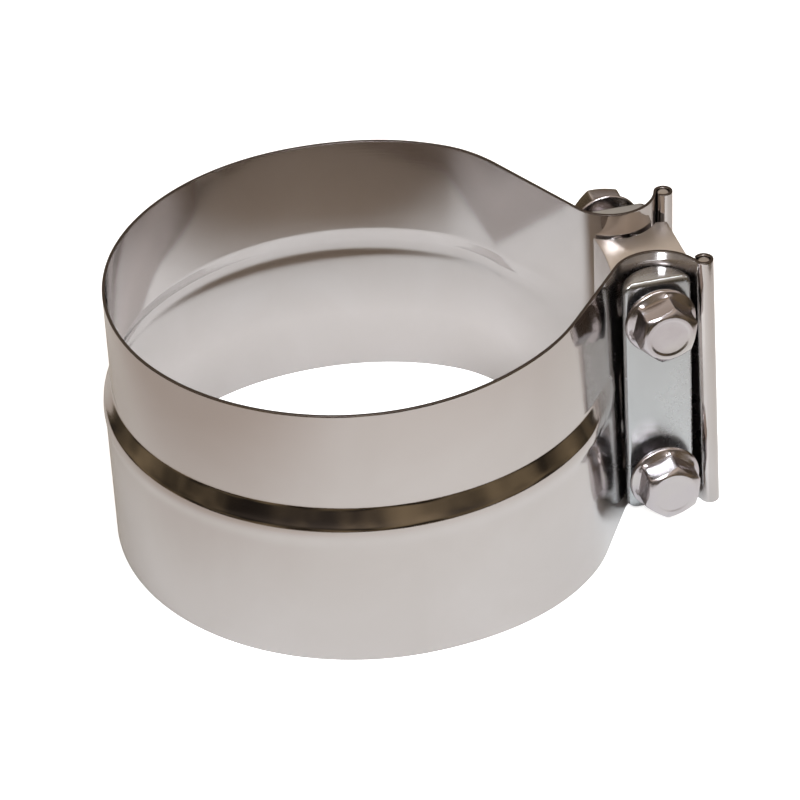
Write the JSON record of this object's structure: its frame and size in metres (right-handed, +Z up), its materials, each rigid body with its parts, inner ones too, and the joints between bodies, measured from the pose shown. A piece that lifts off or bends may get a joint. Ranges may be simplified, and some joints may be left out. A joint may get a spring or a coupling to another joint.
{
  "type": "pipe repair clamp",
  "caption": "Stepped stainless band clamp for a lapped pipe joint, with rolled flanges drawn together by flange bolts through tension bars and a spacer block.",
  "frame": {"origin": "middle of the bounding box in plan, on the plane of the wider rim that the clamp stands on", "axes": "+X from the ring to the bolted flanges, +Z up along the pipe axis towards the smaller section, bolts along Y with their heads at -Y"},
  "size_m": [0.1598, 0.1358, 0.075],
  "materials": {
    "polished_stainless": "bright polished strip",
    "zinc_bar": "bright zinc plate",
    "zinc_fastener": "bright zinc plate",
    "pin_steel": "drawn steel rod",
    "spacer_steel": "satin"
  },
  "bodies": {
    "rear_half": {"band_rear_half": "polished_stainless", "rear_edge_rod": "pin_steel", "rear_tension_bar": "zinc_bar", "spacer_block": "spacer_steel"},
    "front_half": {"band_front_half": "polished_stainless", "front_edge_rod": "pin_steel"},
    "front_bar": {"front_tension_bar": "zinc_bar"},
    "upper_bolt": {"upper_flange_bolt": "zinc_fastener"},
    "lower_bolt": {"lower_flange_bolt": "zinc_fastener"},
    "upper_nut": {"upper_flange_nut": "zinc_fastener"},
    "lower_nut": {"lower_flange_nut": "zinc_fastener"}
  },
  "joints": [
    {"name": "front_bar_slide", "type": "slide", "parent": "rear_half", "child": "front_bar", "axis": [0.1707, 0.9853, 0], "range_m": [0, 0.00644]},
    {"name": "band_close", "type": "hinge", "parent": "rear_half", "child": "front_half", "pos_m": [-0.0775, 0, 0.0375], "axis": [0, 0, 1], "range_deg": [0, 2.6], "stiffness_Nm_per_rad": 7},
    {"name": "upper_bolt_turn", "type": "hinge", "parent": "front_bar", "child": "upper_bolt", "pos_m": [0.06323, -0.0047, 0.0607], "axis": [0, 1, 0], "range_deg": [0, 2890]},
    {"name": "lower_bolt_turn", "type": "hinge", "parent": "front_bar", "child": "lower_bolt", "pos_m": [0.06323, -0.0047, 0.0127], "axis": [0, 1, 0], "range_deg": [0, 2890]},
    {"name": "upper_nut_slide", "type": "slide", "parent": "rear_half", "child": "upper_nut", "axis": [0.1707, -0.9853, 0], "range_m": [0, 0.0066]},
    {"name": "lower_nut_slide", "type": "slide", "parent": "rear_half", "child": "lower_nut", "axis": [0.1707, -0.9853, 0], "range_m": [0, 0.0066]}
  ],
  "couplings": [
    {"joint": "upper_bolt_turn", "follows": "front_bar_slide", "rad_per_m": 7799.6},
    {"joint": "lower_bolt_turn", "follows": "front_bar_slide", "rad_per_m": 7799.6},
    {"joint": "upper_nut_slide", "follows": "front_bar_slide", "ratio": 1},
    {"joint": "lower_nut_slide", "follows": "front_bar_slide", "ratio": 1},
    {"joint": "band_close", "follows": "front_bar_slide", "rad_per_m": 6.94}
  ]
}
